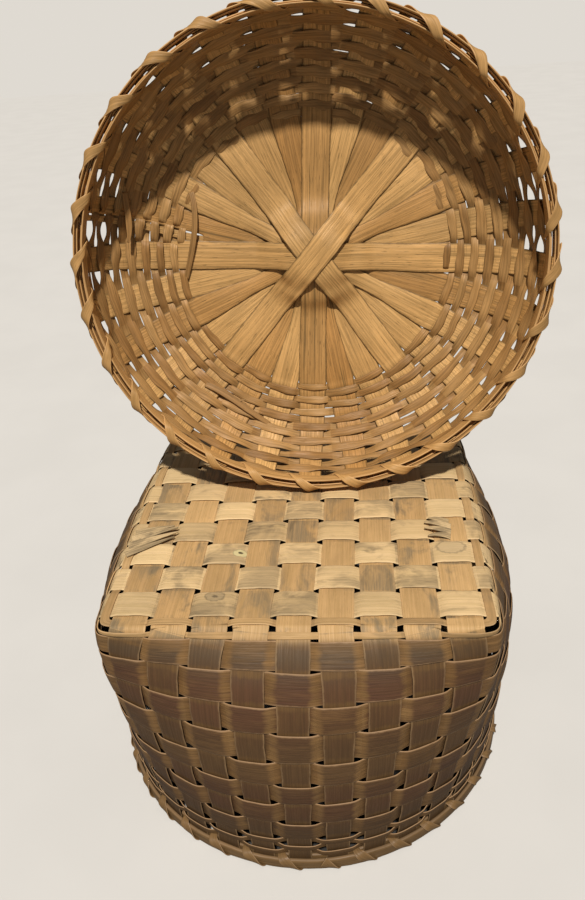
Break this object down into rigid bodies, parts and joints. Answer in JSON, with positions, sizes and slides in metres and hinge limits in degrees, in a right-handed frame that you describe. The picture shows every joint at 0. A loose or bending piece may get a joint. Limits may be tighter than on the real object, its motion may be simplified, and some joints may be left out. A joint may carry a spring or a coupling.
{
  "type": "lidded basket",
  "caption": "Square-to-round woven splint basket standing upside down on its rim, its round lid leaning on the base with the inside to the front.",
  "frame": {"origin": "middle of the outer face of the basket's square base, on the centre cell of its weave", "axes": "+Z out of the base, which is up as the basket stands upside down; -Y to the front, where the lid's inside faces; +X to the right seen from the front"},
  "size_m": [0.3434, 0.3138, 0.5384],
  "materials": {
    "stake_pale": "satin",
    "stake_tan": "satin",
    "weaver_brown": "satin",
    "rim_brown": "satin",
    "lid_honey": "satin",
    "lid_gold": "satin"
  },
  "bodies": {
    "basket": {"stake_lengthwise_1": "stake_tan", "stake_lengthwise_2": "stake_tan", "stake_lengthwise_3": "stake_tan", "stake_lengthwise_4": "stake_tan", "stake_lengthwise_5": "stake_tan", "stake_lengthwise_6": "stake_tan", "stake_lengthwise_7": "stake_tan", "stake_lengthwise_8": "stake_tan", "stake_lengthwise_9": "stake_tan", "stake_crosswise_1": "stake_pale", "stake_crosswise_2": "stake_pale", "stake_crosswise_3": "stake_pale", "stake_crosswise_4": "stake_pale", "stake_crosswise_5": "stake_pale", "stake_crosswise_6": "stake_pale", "stake_crosswise_7": "stake_pale", "stake_crosswise_8": "stake_pale", "stake_crosswise_9": "stake_pale", "base_edge_weaver": "stake_pale", "wall_edge_weaver": "weaver_brown", "wall_weaver_1": "weaver_brown", "wall_weaver_2": "weaver_brown", "wall_weaver_3": "weaver_brown", "wall_weaver_4": "weaver_brown", "wall_weaver_5": "weaver_brown", "wall_weaver_6": "weaver_brown", "wall_weaver_7": "weaver_brown", "wall_weaver_8": "weaver_brown", "rim_weaver_1": "weaver_brown", "rim_weaver_2": "weaver_brown", "rim_weaver_3": "weaver_brown", "basket_inner_hoop": "rim_brown", "basket_outer_hoop": "rim_brown", "basket_lashing": "rim_brown"},
    "lid": {"lid_spoke_01": "lid_honey", "lid_spoke_02": "lid_honey", "lid_spoke_03": "lid_honey", "lid_spoke_04": "lid_honey", "lid_spoke_05": "lid_honey", "lid_spoke_06": "lid_honey", "lid_spoke_07": "lid_honey", "lid_spoke_08": "lid_honey", "lid_spoke_09": "lid_honey", "lid_spoke_10": "lid_honey", "lid_spoke_11": "lid_honey", "lid_spoke_12": "lid_honey", "lid_spoke_13": "lid_honey", "lid_spoke_14": "lid_honey", "lid_weaver": "lid_gold", "lid_inner_hoop": "lid_gold", "lid_outer_hoop": "lid_gold", "lid_lashing": "lid_gold"}
  },
  "joints": [
    {"name": "lid_lift", "type": "slide", "parent": "basket", "child": "lid", "axis": [0, 0, 1], "range_m": [0, 0.15]}
  ]
}
